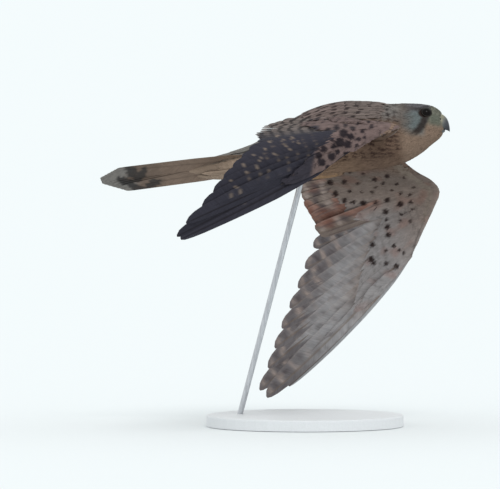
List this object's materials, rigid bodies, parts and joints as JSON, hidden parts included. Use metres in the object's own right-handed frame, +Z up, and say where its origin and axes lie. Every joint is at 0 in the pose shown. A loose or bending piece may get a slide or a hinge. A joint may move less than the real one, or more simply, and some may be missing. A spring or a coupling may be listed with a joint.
{
  "type": "male common kestrel in flight on a display stand",
  "caption": "Life-size male common kestrel model in flight, wings bent and drooping, tail closed, held over a round base by a slim leaning rod.",
  "frame": {"origin": "centre of the base's underside", "axes": "+Z up from the base, +X the way the bird flies, +Y towards its left wing"},
  "size_m": [0.3103, 0.3852, 0.2907],
  "materials": {
    "stand_base": "pale grey matt paint",
    "stand_rod": "pale brushed steel",
    "torso": "feathers, chestnut back with dark spots, buff streaked breast",
    "neck": "feathers, grey nape and buff throat",
    "head": "short blue-grey feathers with a dark moustache stripe",
    "bill_upper": "horn, slate grey with a yellowish cere",
    "bill_lower": "horn, slate grey",
    "eye": "glossy dark brown",
    "wing_left": "feathers, chestnut and blackish above, pale and barred below",
    "wing_right": "feathers, chestnut and blackish above, pale and barred below",
    "tail": "feathers, plain grey-buff with a black band before the pale tip",
    "leg": "yellow scaly skin with black claws"
  },
  "bodies": {
    "root": {"stand_base": "stand_base", "stand_rod": "stand_rod", "torso": "torso", "neck": "neck", "head": "head", "bill_upper": "bill_upper", "bill_lower": "bill_lower", "eye_left": "eye", "eye_right": "eye", "wing_left": "wing_left", "wing_right": "wing_right", "tail": "tail", "leg_left": "leg", "leg_right": "leg"}
  },
  "joints": []
}
